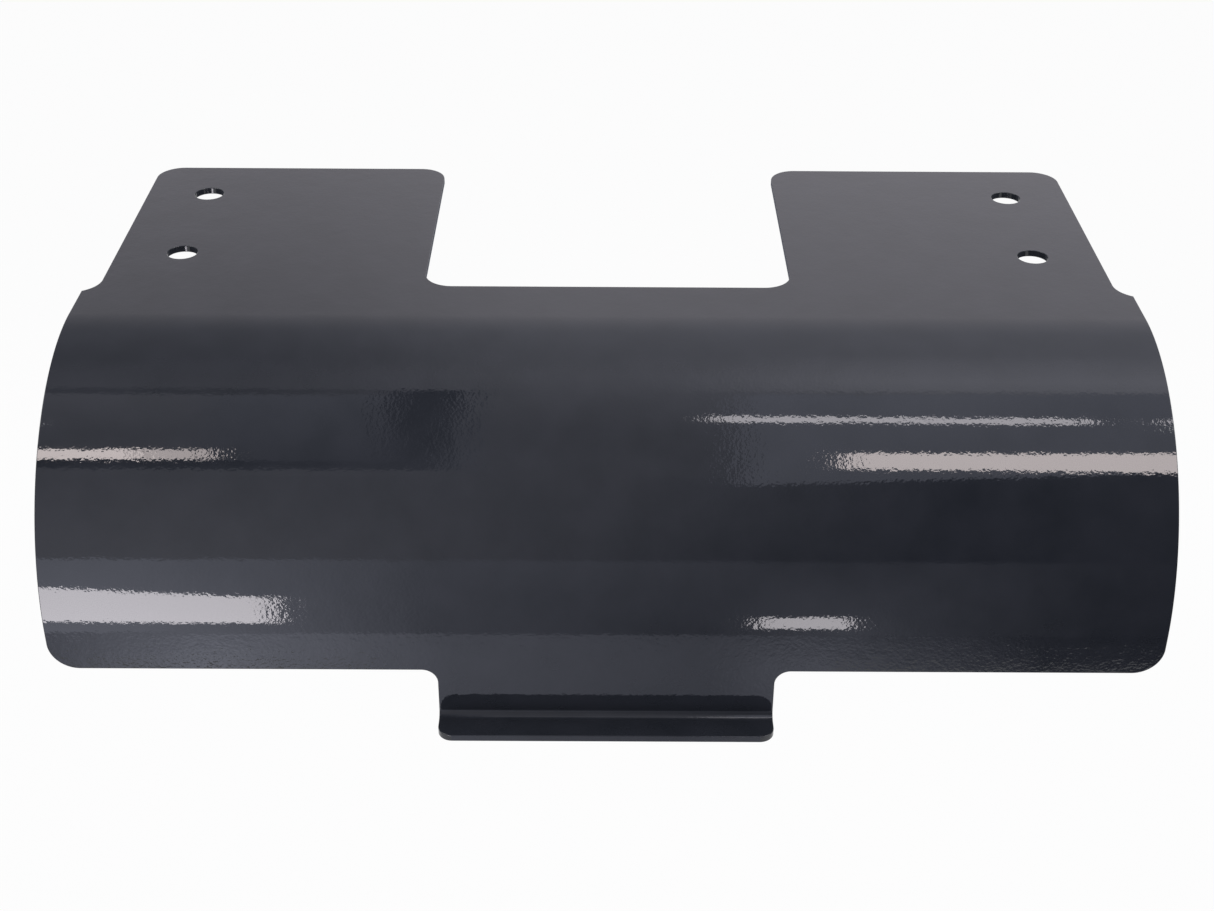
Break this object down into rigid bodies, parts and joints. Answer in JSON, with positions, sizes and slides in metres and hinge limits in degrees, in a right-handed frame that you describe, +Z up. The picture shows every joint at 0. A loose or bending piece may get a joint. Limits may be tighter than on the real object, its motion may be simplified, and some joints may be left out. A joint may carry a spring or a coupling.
{
  "type": "formed steel panel",
  "caption": "Rolled sheet-steel panel with bolt-on ears beside a wide notch, a quarter-round front and a tab with a folded lip. Bolts to a machine as a guard or small blade.",
  "frame": {"origin": "middle of the four bolt holes, on the underside of the flat ears, where the panel seats on what carries it", "axes": "+X to the right across the panel's width, +Y back along the ears, +Z up out of the ears' top face; the rolled front faces -Y and the lip is at the bottom"},
  "size_m": [0.45, 0.2664, 0.1383],
  "materials": {
    "powder_coat": "gloss"
  },
  "bodies": {
    "root": {"formed_panel": "powder_coat"}
  },
  "joints": []
}
